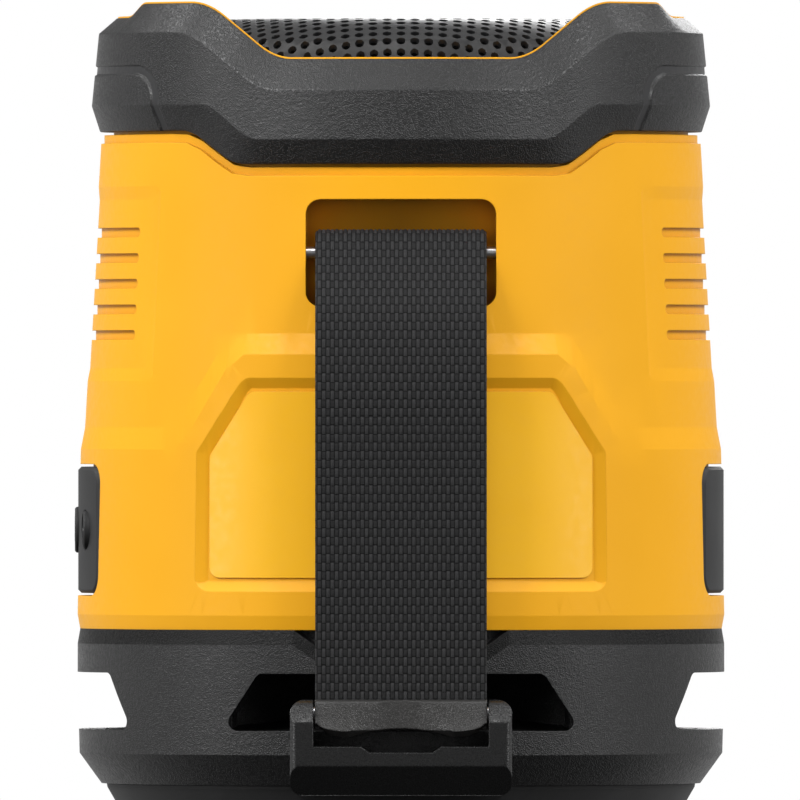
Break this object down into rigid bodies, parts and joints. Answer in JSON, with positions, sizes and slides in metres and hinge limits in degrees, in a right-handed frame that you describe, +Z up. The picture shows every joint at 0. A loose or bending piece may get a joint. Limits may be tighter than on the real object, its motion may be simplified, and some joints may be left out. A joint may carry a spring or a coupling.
{
  "type": "bluetooth speaker",
  "caption": "Rugged round mini speaker: perforated dome in a wavy bumper, tapered body with side grips, rear webbing strap with hook, windowed base.",
  "frame": {"origin": "centre of the foot's flat underside, on the body's vertical axis", "axes": "+Z up along the body's axis, -Y towards the strap at the rear, +X towards the port cover"},
  "size_m": [0.1004, 0.1064, 0.1251],
  "materials": {
    "yellow_plastic": "satin moulded, fine grain",
    "black_plastic": "pebbled moulding texture",
    "black_rubber": "matt, fine grain",
    "grille_steel": "black powder coat on perforated steel",
    "bright_steel": "ground pin steel",
    "webbing": "woven polyester webbing",
    "cloth": "acoustic cloth",
    "label_film": "bare satin film",
    "circuit_board": "solder mask",
    "cell_wrap": "shrink wrap",
    "nickel": "nickel plate",
    "magnet_steel": "zinc plated",
    "basket_metal": "pressed steel",
    "paper_cone": "treated paper",
    "screw_steel": "blackened",
    "frame_plastic": "plain moulding"
  },
  "bodies": {
    "case": {"foot_pad": "black_rubber", "base_skirt": "black_plastic", "sound_deflector": "black_plastic", "base_screws": "screw_steel", "radiator_frame": "frame_plastic", "radiator_surround": "black_rubber", "body_seal": "black_rubber", "inner_frame": "frame_plastic", "battery_cells": "cell_wrap", "battery_tabs": "nickel", "main_board": "circuit_board", "radio_module": "nickel", "body_shell": "yellow_plastic", "rating_label": "label_film", "speaker_baffle": "yellow_plastic", "top_bumper": "black_plastic", "grille": "grille_steel", "grille_cloth": "cloth", "driver_gasket": "black_rubber", "driver_basket": "basket_metal", "driver_magnet": "magnet_steel", "driver_surround": "black_rubber", "driver_spider": "cloth", "driver_screws": "screw_steel", "key_bezel": "black_rubber", "key_board": "circuit_board", "port_tray": "black_plastic", "usb_socket": "nickel", "charge_board": "circuit_board", "strap_pin": "bright_steel"},
    "cone": {"driver_cone": "paper_cone", "voice_coil": "nickel", "dust_cap": "paper_cone"},
    "radiator": {"radiator_plate": "frame_plastic"},
    "power_key": {"power_button": "black_rubber"},
    "volume_down_key": {"volume_down_button": "black_rubber"},
    "volume_up_key": {"volume_up_button": "black_rubber"},
    "cover": {"port_cover": "black_rubber"},
    "strap_body": {"strap": "webbing", "strap_end_bar": "black_plastic", "hook_pin": "bright_steel"},
    "hook_body": {"hook": "black_plastic"}
  },
  "joints": [
    {"name": "driver_travel", "type": "slide", "parent": "case", "child": "cone", "axis": [0, 0, 1], "range_m": [-0.001, 0.001], "stiffness_N_per_m": 1500, "deforming": ["driver_surround", "driver_spider"]},
    {"name": "radiator_travel", "type": "slide", "parent": "case", "child": "radiator", "axis": [0, 0, 1], "range_m": [-0.001, 0.001], "stiffness_N_per_m": 1500, "deforming": ["radiator_surround"]},
    {"name": "power_press", "type": "slide", "parent": "case", "child": "power_key", "axis": [1, 0, 0], "range_m": [0, 0.0005], "stiffness_N_per_m": 400},
    {"name": "volume_down_press", "type": "slide", "parent": "case", "child": "volume_down_key", "axis": [1, 0, 0], "range_m": [0, 0.0005], "stiffness_N_per_m": 400},
    {"name": "volume_up_press", "type": "slide", "parent": "case", "child": "volume_up_key", "axis": [1, 0, 0], "range_m": [0, 0.0005], "stiffness_N_per_m": 400},
    {"name": "cover_flap", "type": "hinge", "parent": "case", "child": "cover", "pos_m": [0.04684, 0.0172, 0.04365], "axis": [0, 0, 1], "range_deg": [0, 100], "stiffness_Nm_per_rad": 0.002},
    {"name": "strap_swing", "type": "hinge", "parent": "case", "child": "strap_body", "pos_m": [0, -0.04262, 0.0863], "axis": [-1, 0, 0], "range_deg": [0, 100]},
    {"name": "hook_pivot", "type": "hinge", "parent": "strap_body", "child": "hook_body", "pos_m": [0, -0.05165, 0.0158], "axis": [-1, 0, 0], "range_deg": [0, 115]}
  ]
}
